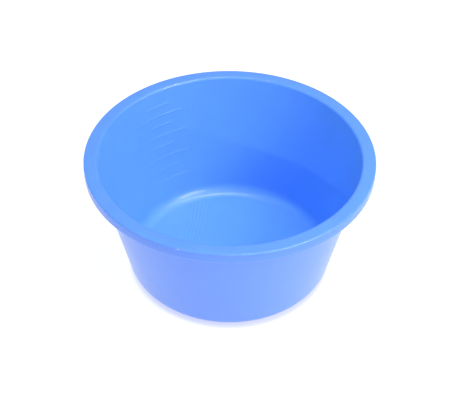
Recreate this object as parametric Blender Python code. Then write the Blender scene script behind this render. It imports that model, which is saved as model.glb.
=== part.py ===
"""Round wash bowl for a hospital ward, injection moulded in one piece in polypropylene.

Run with: blender --background --python part.py
Units are metres, +Z is up, and the origin is at the middle of the base, on the surface
that the bowl stands on. +Y is the back of the bowl, and azimuths are measured from it
towards +X. The litre scale is on the back left of the inside wall.
"""

import math

import bmesh
import bpy

# Rim: a flat flange with a turned-down skirt.
RIM_RADIUS = 0.140
HEIGHT = 0.1355
RIM_FLAT_RADIUS = 0.129
RIM_INNER_ROUND = 0.0025
RIM_OUTER_ROUND = 0.0016
SKIRT_DEPTH = 0.0104
SKIRT_THICKNESS = 0.0018
SKIRT_EDGE_ROUND = 0.0008

# Wall: a straight draft from the base to the flange.
WALL_THICKNESS = 0.002
WALL_FOOT_RADIUS = 0.099
FLANGE_ROOT_ROUND = 0.0015

# Base: a floor with a foot ring round a slightly raised panel.
FLOOR_THICKNESS = 0.0024
BASE_INNER_ROUND = 0.014
FOOT_RING_WIDTH = 0.007
PANEL_RISE = 0.0008
PANEL_STEP = 0.0006
GATE_RADIUS = 0.003
GATE_HEIGHT = 0.0004

# Litre scale: raised lines on the inside wall.
SCALE_STEP_LITRES = 0.5
SCALE_FIRST_STEP = 2
SCALE_LAST_STEP = 9
LONG_LINE_AZIMUTHS = (math.radians(-52.5), math.radians(-24.5))
SHORT_LINE_AZIMUTHS = (math.radians(-44.0), math.radians(-31.5))
LINE_HEIGHT = 0.0010
LINE_RELIEF = 0.0004
LINE_ROOT = 0.0010
LINE_SEGMENTS = 8

# Fineness of the solid.
SEGMENTS = 96
ARC_STEP = math.radians(18)
MERGE_DISTANCE = 1e-6

LITRE = 0.001


def clear_scene():
    """Removes whatever the file was opened with."""
    for obj in list(bpy.data.objects):
        bpy.data.objects.remove(obj, do_unlink=True)


def arc(centre, radius, start, end):
    """Points of an arc in the (radius, height) plane, both ends included."""
    steps = max(2, round(abs(end - start) / ARC_STEP))
    angles = [start + (end - start) * i / steps for i in range(steps + 1)]
    return [
        (centre[0] + radius * math.cos(a), centre[1] + radius * math.sin(a))
        for a in angles
    ]


def wall_slope():
    """Gain in radius for each metre of height on the wall, found from its two tangents."""
    slope = 0.0
    for _ in range(30):
        tangent = RIM_INNER_ROUND * math.tan((math.pi / 2 - math.atan(slope)) / 2)
        top_radius = RIM_FLAT_RADIUS - tangent
        slope = (top_radius - WALL_FOOT_RADIUS) / (HEIGHT - FLOOR_THICKNESS)
    return slope


SLOPE = wall_slope()
DRAFT = math.atan(SLOPE)


def inner_wall_radius(height):
    """Radius of the straight inside wall, carried on past its rounds."""
    return WALL_FOOT_RADIUS + SLOPE * (height - FLOOR_THICKNESS)


def base_round_centre():
    """Centre of the round between the floor and the inside wall."""
    reach = BASE_INNER_ROUND * math.tan((math.pi / 2 - DRAFT) / 2)
    return WALL_FOOT_RADIUS - reach, FLOOR_THICKNESS + BASE_INNER_ROUND


def inner_radius(height):
    """Radius of the hollow at a height, base round included."""
    radius, centre_height = base_round_centre()
    tangent_height = centre_height - BASE_INNER_ROUND * math.sin(DRAFT)
    if height >= tangent_height:
        return inner_wall_radius(height)
    drop = centre_height - height
    return radius + math.sqrt(max(0.0, BASE_INNER_ROUND**2 - drop**2))


def height_for_volume(litres):
    """Height of the water surface for a volume of water, by adding up thin layers."""
    layer = 0.00005
    height = FLOOR_THICKNESS
    volume = 0.0
    while volume < litres * LITRE:
        volume += math.pi * inner_radius(height + layer / 2) ** 2 * layer
        height += layer
    return height


def outer_profile():
    """Outside of the bowl from the middle of the underside up to the top of the rim."""
    centre = base_round_centre()
    foot_outer = centre[0]
    foot_inner = foot_outer - FOOT_RING_WIDTH
    outer_round = centre[1]
    points = [
        (0.0, PANEL_RISE - GATE_HEIGHT),
        (GATE_RADIUS, PANEL_RISE - GATE_HEIGHT),
        (GATE_RADIUS, PANEL_RISE),
        (foot_inner - PANEL_STEP, PANEL_RISE),
        (foot_inner, 0.0),
    ]
    points += arc((foot_outer, outer_round), outer_round, -math.pi / 2, -DRAFT)

    flange_underside = HEIGHT - WALL_THICKNESS
    wall_offset = WALL_THICKNESS / math.cos(DRAFT)
    root_reach = FLANGE_ROOT_ROUND * math.tan((math.pi / 2 + DRAFT) / 2)
    root_radius = inner_wall_radius(flange_underside) + wall_offset + root_reach
    points += arc(
        (root_radius, flange_underside - FLANGE_ROOT_ROUND),
        FLANGE_ROOT_ROUND,
        math.pi - DRAFT,
        math.pi / 2,
    )

    skirt_inner = RIM_RADIUS - SKIRT_THICKNESS
    skirt_foot = HEIGHT - SKIRT_DEPTH
    points += arc(
        (skirt_inner - SKIRT_THICKNESS / 2, flange_underside - SKIRT_THICKNESS / 2),
        SKIRT_THICKNESS / 2,
        math.pi / 2,
        0.0,
    )
    points += arc(
        (skirt_inner + SKIRT_EDGE_ROUND, skirt_foot + SKIRT_EDGE_ROUND),
        SKIRT_EDGE_ROUND,
        math.pi,
        1.5 * math.pi,
    )
    points += arc(
        (RIM_RADIUS - SKIRT_EDGE_ROUND, skirt_foot + SKIRT_EDGE_ROUND),
        SKIRT_EDGE_ROUND,
        -math.pi / 2,
        0.0,
    )
    points += arc(
        (RIM_RADIUS - RIM_OUTER_ROUND, HEIGHT - RIM_OUTER_ROUND),
        RIM_OUTER_ROUND,
        0.0,
        math.pi / 2,
    )
    return points


def inner_profile():
    """Inside of the bowl from the rim's flat down to the middle of the floor."""
    points = arc(
        (RIM_FLAT_RADIUS, HEIGHT - RIM_INNER_ROUND),
        RIM_INNER_ROUND,
        math.pi / 2,
        math.pi - DRAFT,
    )
    points += arc(base_round_centre(), BASE_INNER_ROUND, -DRAFT, -math.pi / 2)
    points.append((0.0, FLOOR_THICKNESS))
    return points


def plastic():
    """Mid-blue polypropylene with a satin gloss."""
    material = bpy.data.materials.new("blue_polypropylene")
    material.use_nodes = True
    shader = material.node_tree.nodes["Principled BSDF"]
    shader.inputs["Base Color"].default_value = (0.12, 0.36, 0.95, 1.0)
    shader.inputs["Roughness"].default_value = 0.35
    shader.inputs["Metallic"].default_value = 0.0
    return material


def add_object(name, bm):
    """Turns a bmesh into an object of the scene."""
    mesh = bpy.data.meshes.new(name)
    bm.to_mesh(mesh)
    bm.free()
    obj = bpy.data.objects.new(name, mesh)
    bpy.context.scene.collection.objects.link(obj)
    return obj


def turned_bowl():
    """The whole shell, its outline turned once round the Z axis."""
    bm = bmesh.new()
    outline = outer_profile() + inner_profile()
    verts = [bm.verts.new((r, 0.0, z)) for r, z in outline]
    edges = [bm.edges.new(pair) for pair in zip(verts, verts[1:])]
    bmesh.ops.spin(
        bm,
        geom=verts + edges,
        cent=(0.0, 0.0, 0.0),
        axis=(0.0, 0.0, 1.0),
        angle=2 * math.pi,
        steps=SEGMENTS,
        use_merge=True,
    )
    bmesh.ops.remove_doubles(bm, verts=bm.verts, dist=MERGE_DISTANCE)
    bmesh.ops.recalc_face_normals(bm, faces=bm.faces)
    return add_object("bowl", bm)


def add_line(bm, litres, azimuths):
    """One raised line of the scale, a bar bent round the wall with its root inside it."""
    level = height_for_volume(litres)
    low = level - LINE_HEIGHT / 2
    high = level + LINE_HEIGHT / 2
    section = (
        (-LINE_RELIEF, low),
        (LINE_ROOT, low),
        (LINE_ROOT, high),
        (-LINE_RELIEF, high),
    )
    rings = []
    for i in range(LINE_SEGMENTS + 1):
        azimuth = azimuths[0] + (azimuths[1] - azimuths[0]) * i / LINE_SEGMENTS
        ring = []
        for offset, height in section:
            radius = inner_wall_radius(height) + offset
            place = (radius * math.sin(azimuth), radius * math.cos(azimuth), height)
            ring.append(bm.verts.new(place))
        rings.append(ring)
    for ring, following in zip(rings, rings[1:]):
        for i in range(len(section)):
            j = (i + 1) % len(section)
            bm.faces.new((ring[i], ring[j], following[j], following[i]))
    bm.faces.new(rings[0])
    bm.faces.new(reversed(rings[-1]))


def scale_lines():
    """Every line of the litre scale, long at whole litres and short at the halves."""
    bm = bmesh.new()
    for step in range(SCALE_FIRST_STEP, SCALE_LAST_STEP + 1):
        litres = step * SCALE_STEP_LITRES
        whole = step % 2 == 0
        add_line(bm, litres, LONG_LINE_AZIMUTHS if whole else SHORT_LINE_AZIMUTHS)
    bmesh.ops.recalc_face_normals(bm, faces=bm.faces)
    lines = add_object("scale_lines", bm)
    lines.hide_render = True
    lines.display_type = "WIRE"
    return lines


def main():
    clear_scene()
    bowl = turned_bowl()
    bowl.data.materials.append(plastic())
    bowl.data.shade_smooth()
    bowl.data.set_sharp_from_angle(angle=math.radians(35))
    union = bowl.modifiers.new("scale", "BOOLEAN")
    union.operation = "UNION"
    union.object = scale_lines()


main()
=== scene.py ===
"""Looks of the round wash bowl: a fine turned mesh, moulded litre scale, plastic and light.

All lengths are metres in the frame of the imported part: +Z up, origin at the middle of the
base, +Y at the back. Azimuths on the bowl are measured from +Y towards +X. Azimuths of the
lights are measured from the front, -Y, towards +X.
"""

import math

import bpy
import numpy as np
from mathutils import Matrix, Vector


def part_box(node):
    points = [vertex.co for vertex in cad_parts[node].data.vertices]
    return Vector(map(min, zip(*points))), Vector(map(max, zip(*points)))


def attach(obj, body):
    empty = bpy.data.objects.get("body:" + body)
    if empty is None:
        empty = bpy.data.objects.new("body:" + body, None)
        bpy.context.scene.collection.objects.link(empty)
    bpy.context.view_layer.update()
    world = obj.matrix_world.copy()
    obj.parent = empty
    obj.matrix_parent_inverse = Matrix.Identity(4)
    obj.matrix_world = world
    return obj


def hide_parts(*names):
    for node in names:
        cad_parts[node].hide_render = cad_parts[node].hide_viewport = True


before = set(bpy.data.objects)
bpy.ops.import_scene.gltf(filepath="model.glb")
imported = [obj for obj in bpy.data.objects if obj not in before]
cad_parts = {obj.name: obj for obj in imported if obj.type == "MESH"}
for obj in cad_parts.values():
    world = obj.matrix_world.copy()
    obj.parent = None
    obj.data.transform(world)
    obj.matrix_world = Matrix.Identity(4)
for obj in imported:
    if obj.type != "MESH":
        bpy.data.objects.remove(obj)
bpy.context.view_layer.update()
BOWL_LOW, BOWL_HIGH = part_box("bowl")

# Rim
RIM_RADIUS = BOWL_HIGH.x
HEIGHT = BOWL_HIGH.z
RIM_FLAT_RADIUS = RIM_RADIUS - 0.011
RIM_INNER_ROUND = 0.0025
RIM_OUTER_ROUND = 0.0016
SKIRT_DEPTH = 0.0104
SKIRT_THICKNESS = 0.0018
SKIRT_EDGE_ROUND = 0.0008

# Wall
WALL_THICKNESS = 0.002
WALL_FOOT_RADIUS = 0.099
FLANGE_ROOT_ROUND = 0.0015

# Base
FLOOR_THICKNESS = 0.0024
BASE_INNER_ROUND = 0.014
FOOT_RING_WIDTH = 0.007
PANEL_RISE = 0.0008
PANEL_STEP = 0.0008
GATE_RADIUS = 0.003
GATE_HEIGHT = 0.0004

# Litre scale
LITRE = 0.001
LITRES_SHOWN = (1.0, 1.5, 2.0, 2.5, 3.0, 3.5, 4.0, 4.5)
LONG_LINE_AZIMUTHS = (math.radians(-52.5), math.radians(-24.5))
SHORT_LINE_AZIMUTHS = (math.radians(-44.0), math.radians(-31.5))
LINE_HALF_WIDTH = 0.00065
LINE_RELIEF = 0.00020
NUMERAL_AZIMUTH = math.radians(-19.2)
NUMERAL_HEIGHT = 0.0066
NUMERAL_WIDTH = 0.0040
NUMERAL_GAP = 0.0022
STROKE_HALF_WIDTH = 0.0006
STROKE_RELIEF = 0.0002

# Plastic
# One plastic in two colours: the difference between inside and outside is painted light and shade.
PLASTIC_INSIDE = (0.128, 0.365, 0.96, 1.0)
PLASTIC_OUTSIDE = (0.106, 0.285, 0.98, 1.0)
# Paler colour of worn places, also used for the painted highlight on the skirt's edge.
PLASTIC_WORN_AND_HIGHLIT = (0.36, 0.52, 0.88, 1.0)
PLASTIC_ROUGHNESS = 0.43
PLASTIC_IOR = 1.49
COAT_WEIGHT = 0.40
COAT_ROUGHNESS = 0.05
TRANSLUCENCY = 0.15
TRANSLUCENT_REACH = (0.1, 0.6, 1.0)
TRANSLUCENT_DEPTH = 0.004

# Signs of mould and use, and painted light: caustic stripes on the floor and a highlight on the skirt's edge
FLOW_STRETCH = 6.0
# Stripes on the inside floor: painted caustic light in the colour, polishing traces in bump and roughness
STRIPE_PITCH = 0.0038
STRIPE_LEAN = 0.12
STRIPE_BAND = (-0.051, -0.033)
STRIPE_FADE = 0.005
SCRATCHES = ((0.4, 5.0, 0.17), (1.5, 4.0, 0.19), (2.5, 6.0, 0.18))  # angle, stretch, threshold
SCRATCH_FINENESS = 400.0
# Band along the skirt's bottom edge: wear there, and a painted highlight.
SKIRT_EDGE_BAND_HEIGHT = 0.0010
SKIRT_EDGE_BAND_FADE = 0.0006

# White surface, with a soft contact shade near the foot
WHITE = (1.0, 1.0, 1.0, 1.0)
SURFACE_RADIUS = 6.0
SURFACE_SIDES = 48
SURFACE_COLOR = (0.22, 0.22, 0.22, 1.0)
SURFACE_ROUGHNESS = 0.7
SURFACE_GLOW = 0.93
CONTACT_REACH = 0.009
CONTACT_RANGE = (0.3, 0.9)
CONTACT_SHADOW_TINT = (0.62, 0.64, 0.92, 1.0)

# Light
ROOM_STRENGTH = 0.3
LIGHT_AIM_HEIGHT = 0.6 * HEIGHT
OVERHEAD = 75.0  # degrees of elevation above which a light counts as overhead

# Camera: its place round the bowl, in rim radii where it belongs to the bowl's size.
CAMERA_ELEVATION = math.radians(41.75)
CAMERA_ROLL = math.radians(0.25)
CAMERA_DISTANCE = 7.604 * RIM_RADIUS
CAMERA_TARGET = Vector((-0.0315 * RIM_RADIUS, 0.0, 0.4655 * RIM_RADIUS))
CAMERA_LENS = 84.85
CAMERA_SENSOR = 36.0

# Fineness of the mesh
COLUMNS = 192
ARC_STEP = math.radians(7.5)
LINE_RINGS = 9
NUMERAL_PITCH = 0.00035


def arc(centre, radius, start, end):
    """Points of an arc in the (radius, height) plane, both ends included."""
    steps = max(3, round(abs(end - start) / ARC_STEP))
    angles = [start + (end - start) * i / steps for i in range(steps + 1)]
    return [(centre[0] + radius * math.cos(a), centre[1] + radius * math.sin(a)) for a in angles]


def wall_slope():
    """Gain in radius for each metre of height on the wall, found from its two tangents."""
    slope = 0.0
    for _ in range(30):
        tangent = RIM_INNER_ROUND * math.tan((math.pi / 2 - math.atan(slope)) / 2)
        slope = (RIM_FLAT_RADIUS - tangent - WALL_FOOT_RADIUS) / (HEIGHT - FLOOR_THICKNESS)
    return slope


SLOPE = wall_slope()
DRAFT = math.atan(SLOPE)
BASE_ROUND_RADIUS = WALL_FOOT_RADIUS - BASE_INNER_ROUND * math.tan((math.pi / 2 - DRAFT) / 2)
BASE_ROUND_HEIGHT = FLOOR_THICKNESS + BASE_INNER_ROUND


def wall_radius(height):
    """Radius of the straight inside wall, carried on past its rounds."""
    return WALL_FOOT_RADIUS + SLOPE * (height - FLOOR_THICKNESS)


def hollow_radius(height):
    """Radius of the hollow at a height, base round included."""
    if height >= BASE_ROUND_HEIGHT - BASE_INNER_ROUND * math.sin(DRAFT):
        return wall_radius(height)
    drop = BASE_ROUND_HEIGHT - height
    return BASE_ROUND_RADIUS + math.sqrt(max(0.0, BASE_INNER_ROUND**2 - drop**2))


def height_for_volume(litres):
    """Height of the water surface for a volume of water, by adding up thin layers."""
    layer = 0.00005
    height = FLOOR_THICKNESS
    volume = 0.0
    while volume < litres * LITRE:
        volume += math.pi * hollow_radius(height + layer / 2) ** 2 * layer
        height += layer
    return height


LEVELS = {litres: height_for_volume(litres) for litres in LITRES_SHOWN}


def underside_profile():
    """From the middle of the underside out to the start of the outer wall."""
    foot_inner = BASE_ROUND_RADIUS - FOOT_RING_WIDTH
    gate_top = PANEL_RISE - GATE_HEIGHT
    edge = 0.00015
    points = [(0.0, gate_top), (GATE_RADIUS * 0.5, gate_top), (GATE_RADIUS - edge, gate_top)]
    points += [(GATE_RADIUS, gate_top + edge), (GATE_RADIUS + edge, PANEL_RISE)]
    points += [(r, PANEL_RISE) for r in np.linspace(GATE_RADIUS + 2 * edge, foot_inner - PANEL_STEP, 14)]
    for i in range(1, 8):
        t = i / 8
        rise = PANEL_RISE * (1 - t * t * (3 - 2 * t))
        points.append((foot_inner - PANEL_STEP + PANEL_STEP * t, rise))
    points += [(foot_inner, 0.0), (foot_inner + FOOT_RING_WIDTH / 2, 0.0)]
    points += arc((BASE_ROUND_RADIUS, BASE_ROUND_HEIGHT), BASE_ROUND_HEIGHT, -math.pi / 2, -DRAFT)
    return points


def rim_profile():
    """Outer wall, channel under the flange, skirt and the top of the rim."""
    flange_underside = HEIGHT - WALL_THICKNESS
    root = FLANGE_ROOT_ROUND
    reach = root * math.tan((math.pi / 2 + DRAFT) / 2)
    root_radius = wall_radius(flange_underside) + WALL_THICKNESS / math.cos(DRAFT) + reach
    skirt_inner = RIM_RADIUS - SKIRT_THICKNESS
    skirt_foot = HEIGHT - SKIRT_DEPTH
    round_in = SKIRT_THICKNESS / 2
    edge = SKIRT_EDGE_ROUND
    outer = RIM_OUTER_ROUND
    points = arc((root_radius, flange_underside - root), root, math.pi - DRAFT, math.pi / 2)
    points += arc((skirt_inner - round_in, flange_underside - round_in), round_in, math.pi / 2, 0.0)
    points += arc((skirt_inner + edge, skirt_foot + edge), edge, math.pi, 1.5 * math.pi)
    points += arc((RIM_RADIUS - edge, skirt_foot + edge), edge, -math.pi / 2, 0.0)
    points += arc((RIM_RADIUS - outer, HEIGHT - outer), outer, 0.0, math.pi / 2)
    points += arc((RIM_FLAT_RADIUS, HEIGHT - RIM_INNER_ROUND), RIM_INNER_ROUND, math.pi / 2, math.pi - DRAFT)
    return points


def wall_heights():
    """Heights of the rings on the inside wall, close together where the scale stands proud."""
    top = HEIGHT - RIM_INNER_ROUND
    foot = BASE_ROUND_HEIGHT
    heights = set(np.linspace(foot, top, 40)[1:-1].round(6).tolist())
    for litres, level in LEVELS.items():
        reach = LINE_HALF_WIDTH * 1.15
        fine = np.linspace(level - reach, level + reach, LINE_RINGS)
        if litres == int(litres):
            tall = NUMERAL_HEIGHT / 2 + STROKE_HALF_WIDTH * 1.5
            count = round(2 * tall / NUMERAL_PITCH)
            fine = np.concatenate([fine, np.linspace(level - tall, level + tall, count)])
        low = fine.min()
        high = fine.max()
        heights = {h for h in heights if not low - 0.0002 < h < high + 0.0002}
        heights |= set(fine.round(6).tolist())
    ordered = sorted(heights, reverse=True)
    kept = [ordered[0]]
    for height in ordered[1:]:
        if kept[-1] - height > 0.00009:
            kept.append(height)
    return kept


def floor_profile():
    """Inside base round and the floor to its middle."""
    points = arc((BASE_ROUND_RADIUS, BASE_ROUND_HEIGHT), BASE_INNER_ROUND, -DRAFT, -math.pi / 2)
    points += [(r, FLOOR_THICKNESS) for r in np.linspace(BASE_ROUND_RADIUS, 0.0, 16)[1:]]
    return points


def column_azimuths():
    """Azimuths of the mesh's columns, close together at the numerals and the ends of the lines."""
    azimuths = set((np.arange(COLUMNS) * 2 * math.pi / COLUMNS - math.pi).round(7).tolist())
    mean_radius = wall_radius(HEIGHT / 2)
    width = 2 * NUMERAL_WIDTH + NUMERAL_GAP + 4 * STROKE_HALF_WIDTH
    half = width / 2 / mean_radius
    zones = [(NUMERAL_AZIMUTH - half * 1.15, NUMERAL_AZIMUTH + half * 1.15, NUMERAL_PITCH)]
    for end in LONG_LINE_AZIMUTHS + SHORT_LINE_AZIMUTHS:
        reach = LINE_HALF_WIDTH * 1.8 / mean_radius
        zones.append((end - reach, end + reach, 0.0003))
    for low, high, pitch in zones:
        azimuths = {a for a in azimuths if not low - 0.002 < a < high + 0.002}
        count = round((high - low) * mean_radius / pitch)
        azimuths |= set(np.linspace(low, high, count).round(7).tolist())
    return np.array(sorted(azimuths))


def bump_shape(distance, half_width):
    """Cross-section of a moulded line: 1 along its middle, 0 from half_width out, rounded between."""
    t = np.clip(distance / half_width, 0.0, 1.0)
    return np.cos(t**1.6 * math.pi / 2) ** 2


def segment_distance(x, y, start, end):
    """Distance of points to a straight stroke."""
    dx = end[0] - start[0]
    dy = end[1] - start[1]
    t = np.clip(((x - start[0]) * dx + (y - start[1]) * dy) / (dx * dx + dy * dy), 0.0, 1.0)
    return np.hypot(x - start[0] - t * dx, y - start[1] - t * dy)


def polyline_distance(x, y, points):
    """Distance of points to a chain of straight strokes."""
    return np.min([segment_distance(x, y, a, b) for a, b in zip(points, points[1:])], axis=0)


def bow(centre, radii, start, end, steps=14):
    """Points of an elliptical stroke, angles in degrees."""
    angles = np.radians(np.linspace(start, end, steps))
    return [(centre[0] + radii[0] * math.cos(a), centre[1] + radii[1] * math.sin(a)) for a in angles]


def numeral_strokes(character):
    """Strokes of an engraver's numeral in a box 1 wide and 1 high."""
    if character == "1":
        return [[(0.25, 0.78), (0.6, 1.0), (0.6, 0.0)]]
    if character == "2":
        return [bow((0.5, 0.7), (0.42, 0.3), 165, -35) + [(0.06, 0.0), (0.96, 0.0)]]
    if character == "3":
        upper = bow((0.46, 0.76), (0.38, 0.24), 150, -90)
        lower = bow((0.46, 0.26), (0.44, 0.26), 90, -150)
        return [upper, lower]
    if character == "4":
        return [[(0.72, 0.0), (0.72, 1.0), (0.04, 0.3), (1.0, 0.3)]]
    return [[(0.12, 1.0), (0.12, 0.0), (0.82, 0.0)]]


def scale_relief(azimuth, height):
    """How far the litre scale stands proud of the wall, for arrays of azimuth and height."""
    along = azimuth * wall_radius(height)
    up = height / math.cos(DRAFT)
    relief = np.zeros_like(along)
    for litres, level in LEVELS.items():
        ends = LONG_LINE_AZIMUTHS if litres == int(litres) else SHORT_LINE_AZIMUTHS
        radius = wall_radius(level)
        level_up = level / math.cos(DRAFT)
        start = (ends[0] * radius, level_up)
        end = (ends[1] * radius, level_up)
        distance = segment_distance(azimuth * radius, up, start, end)
        relief = np.maximum(relief, LINE_RELIEF * bump_shape(distance, LINE_HALF_WIDTH))
        if litres != int(litres):
            continue
        width = 2 * NUMERAL_WIDTH + NUMERAL_GAP
        for place, character in enumerate((str(int(litres)), "L")):
            left = NUMERAL_AZIMUTH * radius - width / 2 + place * (NUMERAL_WIDTH + NUMERAL_GAP)
            x = (azimuth * radius - left) / NUMERAL_WIDTH
            y = (up - level_up) / NUMERAL_HEIGHT + 0.5
            for stroke in numeral_strokes(character):
                scaled = [(p[0] * NUMERAL_WIDTH, p[1] * NUMERAL_HEIGHT) for p in stroke]
                distance = polyline_distance(x * NUMERAL_WIDTH, y * NUMERAL_HEIGHT, scaled)
                relief = np.maximum(relief, STROKE_RELIEF * bump_shape(distance, STROKE_HALF_WIDTH))
    return relief


def make_bowl():
    """The whole bowl as one closed mesh: its outline turned round the Z axis, scale raised."""
    azimuths = column_azimuths()
    wall = [(wall_radius(h), h) for h in wall_heights()]
    outline = underside_profile() + rim_profile() + wall + floor_profile()
    cleaned = [outline[0]]
    for point in outline[1:]:
        if math.dist(point, cleaned[-1]) > 1e-6:
            cleaned.append(point)
    ring_points = np.array(cleaned[1:-1])
    radius = np.repeat(ring_points[:, :1], len(azimuths), axis=1)
    height = np.repeat(ring_points[:, 1:], len(azimuths), axis=1)
    azimuth = np.repeat(azimuths[None, :], len(ring_points), axis=0)

    wall_set = np.abs(radius - wall_radius(height)) < 1e-7
    wall_set &= (height > BASE_ROUND_HEIGHT) & (height < HEIGHT - RIM_INNER_ROUND)
    relief = np.where(wall_set, scale_relief(azimuth, height), 0.0)
    radius = radius - relief * math.cos(DRAFT)
    height = height + relief * math.sin(DRAFT)

    points = np.stack([radius * np.sin(azimuth), radius * np.cos(azimuth), height], axis=-1)
    verts = points.reshape(-1, 3).tolist()
    bottom = len(verts)
    verts.append((0.0, 0.0, cleaned[0][1]))
    top = len(verts)
    verts.append((0.0, 0.0, cleaned[-1][1]))

    rings, columns = azimuth.shape
    faces = []
    for j in range(columns):
        k = (j + 1) % columns
        faces.append((bottom, j, k))
        for i in range(rings - 1):
            a = i * columns
            b = a + columns
            faces.append((a + k, a + j, b + j, b + k))
        last = (rings - 1) * columns
        faces.append((top, last + k, last + j))
    mesh = bpy.data.meshes.new("wash_bowl")
    mesh.from_pydata(verts, [], faces)
    mesh.validate()
    mesh.shade_smooth()
    bowl = bpy.data.objects.new("wash_bowl", mesh)
    bpy.context.scene.collection.objects.link(bowl)
    return bowl


class Nodes:
    """Short calls for building a material's node tree."""

    def __init__(self, name):
        self.material = bpy.data.materials.new(name)
        self.material.use_nodes = True
        self.tree = self.material.node_tree
        self.shader = self.tree.nodes["Principled BSDF"]

    def add(self, kind, inputs=None, **settings):
        """Adds a node, sets its properties, then its inputs: a value, or another node's socket."""
        node = self.tree.nodes.new(kind)
        for key, value in settings.items():
            setattr(node, key, value)
        for key, value in (inputs or {}).items():
            if isinstance(value, bpy.types.NodeSocket):
                self.tree.links.new(value, node.inputs[key])
            else:
                node.inputs[key].default_value = value
        return node

    def join(self, socket, name):
        """Links a socket to an input of the shader."""
        self.tree.links.new(socket, self.shader.inputs[name])

    def fix(self, values):
        """Sets inputs of the shader that stay constant."""
        for name, value in values.items():
            self.shader.inputs[name].default_value = value

    def math(self, operation, first, second=0.0, third=0.0):
        node = self.add("ShaderNodeMath", {0: first, 1: second, 2: third}, operation=operation)
        return node.outputs[0]

    def product(self, *factors):
        result = factors[0]
        for factor in factors[1:]:
            result = self.math("MULTIPLY", result, factor)
        return result

    def total(self, *terms):
        result = terms[0]
        for term in terms[1:]:
            result = self.math("ADD", result, term)
        return result

    def ramp(self, value, low, high, to_low=0.0, to_high=1.0):
        """Smooth step from to_low at low to to_high at high."""
        inputs = {"Value": value, "From Min": low, "From Max": high, "To Min": to_low, "To Max": to_high}
        return self.add("ShaderNodeMapRange", inputs, interpolation_type="SMOOTHSTEP").outputs["Result"]

    def band(self, value, low, high, soft):
        """1 between low and high, falling to 0 over soft on both sides."""
        return self.product(self.ramp(value, low - soft, low), self.ramp(value, high, high + soft, 1.0, 0.0))

    def mix(self, share, first, second):
        """A colour between two colours, by the share of the second."""
        inputs = {0: share, 6: first, 7: second}
        return self.add("ShaderNodeMix", inputs, data_type="RGBA").outputs[2]

    def noise(self, vector, scale, detail=3.0, roughness=0.5):
        """Noise about zero, within -0.5 and 0.5."""
        inputs = {"Vector": vector, "Scale": scale, "Detail": detail, "Roughness": roughness}
        return self.math("SUBTRACT", self.add("ShaderNodeTexNoise", inputs).outputs[0], 0.5)

    def stretched(self, vector, angle, stretch):
        """Coordinates turned about Z and squeezed along one direction, for fine scratches."""
        inputs = {"Vector": vector, "Rotation": (0.0, 0.0, angle), "Scale": stretch}
        return self.add("ShaderNodeMapping", inputs).outputs["Vector"]


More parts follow.
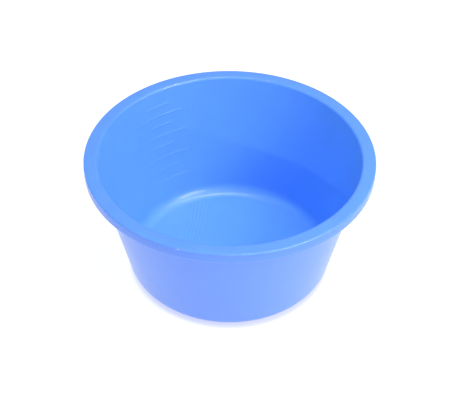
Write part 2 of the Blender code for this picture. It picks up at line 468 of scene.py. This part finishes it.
def plastic():
    """Blue polypropylene: satin gloss, slightly translucent, with signs of mould and use, painted caustic
    stripes, a painted edge highlight and painted shade between inside and outside.
    """
    n = Nodes("blue_polypropylene")
    place = n.add("ShaderNodeTexCoord").outputs["Object"]
    split = n.add("ShaderNodeSeparateXYZ", {"Vector": place}).outputs
    flat = n.add("ShaderNodeCombineXYZ", {"X": split["X"], "Y": split["Y"]}).outputs[0]
    radius = n.add("ShaderNodeVectorMath", {0: flat}, operation="LENGTH").outputs["Value"]
    height = split["Z"]

    # Flow of the melt: faint streaks that run out from the gate and up the wall.
    heading = n.add("ShaderNodeVectorMath", {0: flat}, operation="NORMALIZE").outputs["Vector"]
    heading = n.add("ShaderNodeSeparateXYZ", {"Vector": heading}).outputs
    run = n.product(n.total(radius, height), FLOW_STRETCH)
    flow_place = n.add("ShaderNodeCombineXYZ", {"X": heading["X"], "Y": heading["Y"], "Z": run}).outputs[0]
    flow = n.noise(flow_place, 7.0, 4.0)
    cloud = n.noise(place, 14.0, 2.0)

    # Where things rub: foot ring, edge of the skirt, crown of the rim. The skirt's edge band also carries a
    # painted highlight line.
    foot = n.ramp(height, 0.0001, PANEL_RISE - GATE_HEIGHT, 1.0, 0.0)
    skirt_foot = HEIGHT - SKIRT_DEPTH
    skirt_edge_wear_and_highlight = n.product(
        n.band(height, skirt_foot, skirt_foot + SKIRT_EDGE_BAND_HEIGHT, SKIRT_EDGE_BAND_FADE),
        n.ramp(radius, RIM_RADIUS - 0.003, RIM_RADIUS - 0.002),
    )
    crown = n.product(
        n.ramp(radius, RIM_RADIUS - RIM_OUTER_ROUND, RIM_RADIUS - 0.0004),
        n.ramp(height, HEIGHT - WALL_THICKNESS, HEIGHT - 0.0005),
    )
    patchy = n.ramp(n.noise(place, 160.0, 4.0, 0.7), -0.04, 0.12)
    wear = n.product(n.total(foot, n.product(skirt_edge_wear_and_highlight, 0.5), n.product(crown, 0.35)), patchy)

    # Fine scratches on the inside floor and the foot, in three directions.
    floor_zone = n.product(
        n.ramp(radius, WALL_FOOT_RADIUS - 0.019, WALL_FOOT_RADIUS - 0.007, 1.0, 0.0),
        n.ramp(height, FLOOR_THICKNESS - 0.0006, FLOOR_THICKNESS - 0.0002),
    )
    scratches = []
    for angle, stretch, limit in SCRATCHES:
        lines = n.noise(n.stretched(place, angle, (stretch, SCRATCH_FINENESS, stretch)), 3.0, 2.0)
        scratches.append(n.ramp(lines, limit, limit + 0.05))
    scratched = n.product(n.total(*scratches), n.ramp(n.noise(place, 30.0, 2.0), -0.05, 0.15))
    scratched = n.product(scratched, n.total(n.product(floor_zone, 0.6), foot, 0.06))

    # Close, parallel stripes on the left of the inside floor, front to back: fine polishing traces of the
    # mould in bump and roughness, and painted caustic light in the colour.
    wander = n.product(n.noise(place, 30.0, 2.0), 0.004)
    lean = n.total(split["X"], n.product(split["Y"], -STRIPE_LEAN))
    phase = n.product(n.total(lean, wander), 2 * math.pi / STRIPE_PITCH)
    patches = n.ramp(n.noise(place, 90.0, 2.0), -0.15, 0.15, 0.4, 1.0)
    polish_and_painted_caustics = n.product(n.math("SINE", phase), n.band(lean, *STRIPE_BAND, STRIPE_FADE), floor_zone, patches)
    polish_and_painted_caustics = n.product(polish_and_painted_caustics, n.ramp(split["Y"], -0.09, 0.0, 0.5, 1.0))

    # Painted light and shade: the same plastic in two colours, one for the lit hollow and one for the rim
    # and outside, each set to how it looks under these lamps.
    wall_line = n.total(n.product(n.math("SUBTRACT", height, FLOOR_THICKNESS), SLOPE), WALL_FOOT_RADIUS)
    hollow = n.ramp(n.math("SUBTRACT", wall_line, radius), -0.0012, 0.0)
    above_floor = n.ramp(height, FLOOR_THICKNESS - 0.0008, FLOOR_THICKNESS - 0.0002)
    below_rim = n.ramp(height, HEIGHT - 0.0018, HEIGHT - 0.0004, 1.0, 0.0)
    hollow = n.product(hollow, above_floor, below_rim)
    body = n.mix(hollow, PLASTIC_OUTSIDE, PLASTIC_INSIDE)
    # Tone varies with flow lines and cloud; the floor stripes add painted caustic light to it.
    shade = n.total(n.product(flow, 0.10), n.product(cloud, 0.06), n.product(polish_and_painted_caustics, 0.10), 1.0)
    body = n.add("ShaderNodeVectorMath", {0: body, "Scale": shade}, operation="SCALE")
    # Paler where worn and scratched, plus a steady painted highlight line along the skirt's bottom edge.
    rubbed_and_painted_highlight = n.total(n.product(wear, 0.35), n.product(scratched, 0.12), n.product(skirt_edge_wear_and_highlight, 0.15))
    n.join(n.mix(rubbed_and_painted_highlight, body.outputs["Vector"], PLASTIC_WORN_AND_HIGHLIT), "Base Color")

    satin = n.noise(place, 55.0, 3.0)
    grain = n.noise(place, 1300.0, 2.0)
    underside = n.ramp(height, 0.0018, 0.0, 0.0, 0.10)
    texture = n.total(n.product(satin, 0.10), n.product(grain, 0.06), n.product(flow, 0.05))
    use = n.total(n.product(wear, 0.20), n.product(scratched, 0.12), underside, n.product(polish_and_painted_caustics, 0.02))
    n.join(n.total(PLASTIC_ROUGHNESS, texture, use), "Roughness")

    ripple = n.product(n.noise(place, 24.0, 1.0), 0.00012)
    relief = n.total(ripple, n.product(grain, 0.000010), n.product(scratched, -0.000012))
    relief = n.total(relief, n.product(polish_and_painted_caustics, 0.00003))
    bump = n.add("ShaderNodeBump", {"Height": relief, "Distance": 1.0, "Strength": 1.0})
    n.join(bump.outputs["Normal"], "Normal")
    n.fix({"IOR": PLASTIC_IOR, "Coat IOR": PLASTIC_IOR})
    n.fix({"Coat Weight": COAT_WEIGHT, "Coat Roughness": COAT_ROUGHNESS})
    n.fix({"Subsurface Weight": TRANSLUCENCY, "Subsurface Radius": TRANSLUCENT_REACH})
    n.fix({"Subsurface Scale": TRANSLUCENT_DEPTH})
    return n.material


def floor_material():
    """Matt white that glows, with a painted contact shadow: a faint tint where the bowl stands close over
    it.
    """
    n = Nodes("white_floor")
    n.fix({"Base Color": SURFACE_COLOR, "Roughness": SURFACE_ROUGHNESS, "Specular IOR Level": 0.0})
    openness = n.add("ShaderNodeAmbientOcclusion", {"Distance": CONTACT_REACH}, samples=16).outputs["AO"]
    n.join(n.mix(n.ramp(openness, *CONTACT_RANGE), CONTACT_SHADOW_TINT, WHITE), "Emission Color")
    n.fix({"Emission Strength": SURFACE_GLOW})
    return n.material


def make_floor():
    """A wide round floor that the foot ring stands on."""
    mesh = bpy.data.meshes.new("floor")
    ring = [2 * math.pi * i / SURFACE_SIDES for i in range(SURFACE_SIDES)]
    corners = [(SURFACE_RADIUS * math.cos(a), SURFACE_RADIUS * math.sin(a), 0.0) for a in ring]
    mesh.from_pydata(corners, [], [list(range(SURFACE_SIDES))])
    floor = bpy.data.objects.new("floor", mesh)
    bpy.context.scene.collection.objects.link(floor)
    floor.data.materials.append(floor_material())


def aimed(location, target, upright):
    """Rotation that points a light's or camera's -Z from location to target."""
    back = (Vector(location) - Vector(target)).normalized()
    across = Vector(upright).cross(back).normalized()
    return Matrix((across, back.cross(across), back)).transposed().to_quaternion()


def area_light(name, azimuth, elevation, distance, size, power, color=(1.0, 1.0, 1.0)):
    """A soft box that faces the bowl, placed in degrees: azimuth 0 is at the front, 90 at +X."""
    a = math.radians(azimuth)
    e = math.radians(elevation)
    target = Vector((0.0, 0.0, LIGHT_AIM_HEIGHT))
    direction = Vector((math.sin(a) * math.cos(e), -math.cos(a) * math.cos(e), math.sin(e)))
    data = bpy.data.lights.new(name, "AREA")
    data.shape = "RECTANGLE"
    data.size, data.size_y = size
    data.energy = power
    data.color = color
    light = bpy.data.objects.new(name, data)
    light.location = target + direction * distance
    light.rotation_mode = "QUATERNION"
    upright = (0.0, 1.0, 0.0) if elevation > OVERHEAD else (0.0, 0.0, 1.0)
    light.rotation_quaternion = aimed(light.location, target, upright)
    bpy.context.scene.collection.objects.link(light)


def make_world():
    world = bpy.data.worlds.new("white_room")
    bpy.context.scene.world = world
    world.use_nodes = True
    background = world.node_tree.nodes["Background"]
    background.inputs["Color"].default_value = WHITE
    background.inputs["Strength"].default_value = ROOM_STRENGTH


def make_camera():
    data = bpy.data.cameras.new("camera")
    data.sensor_width = CAMERA_SENSOR
    data.lens = CAMERA_LENS
    data.clip_start = 0.05
    data.clip_end = 50.0
    camera = bpy.data.objects.new("camera", data)
    back = Vector((0.0, -math.cos(CAMERA_ELEVATION), math.sin(CAMERA_ELEVATION)))
    camera.location = CAMERA_TARGET + back * CAMERA_DISTANCE
    camera.rotation_mode = "QUATERNION"
    roll = Matrix.Rotation(CAMERA_ROLL, 3, "Z").to_quaternion()
    camera.rotation_quaternion = (-back).to_track_quat("-Z", "Y") @ roll
    bpy.context.scene.collection.objects.link(camera)
    bpy.context.scene.camera = camera


bowl = make_bowl()
bowl.data.materials.append(plastic())
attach(bowl, "root")
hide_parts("bowl")

make_floor()
make_world()
area_light("front_right_box", 50.0, 38.0, 1.6, (0.7, 0.7), 15.5)
area_light("right_box", 77.0, 56.0, 1.6, (0.7, 0.7), 4.5)
area_light("overhead_strip", 128.0, 80.5, 1.6, (0.95, 0.10), 12.0)
area_light("low_left_lamp", -34.0, 19.3, 1.8, (0.04, 0.04), 3.2)
area_light("left_fill", -90.0, 52.0, 1.6, (0.7, 0.7), 3.5, (0.20, 1.0, 1.0))
make_camera()

bpy.context.scene.view_settings.view_transform = "Standard"
bpy.context.scene.view_settings.look = "None"
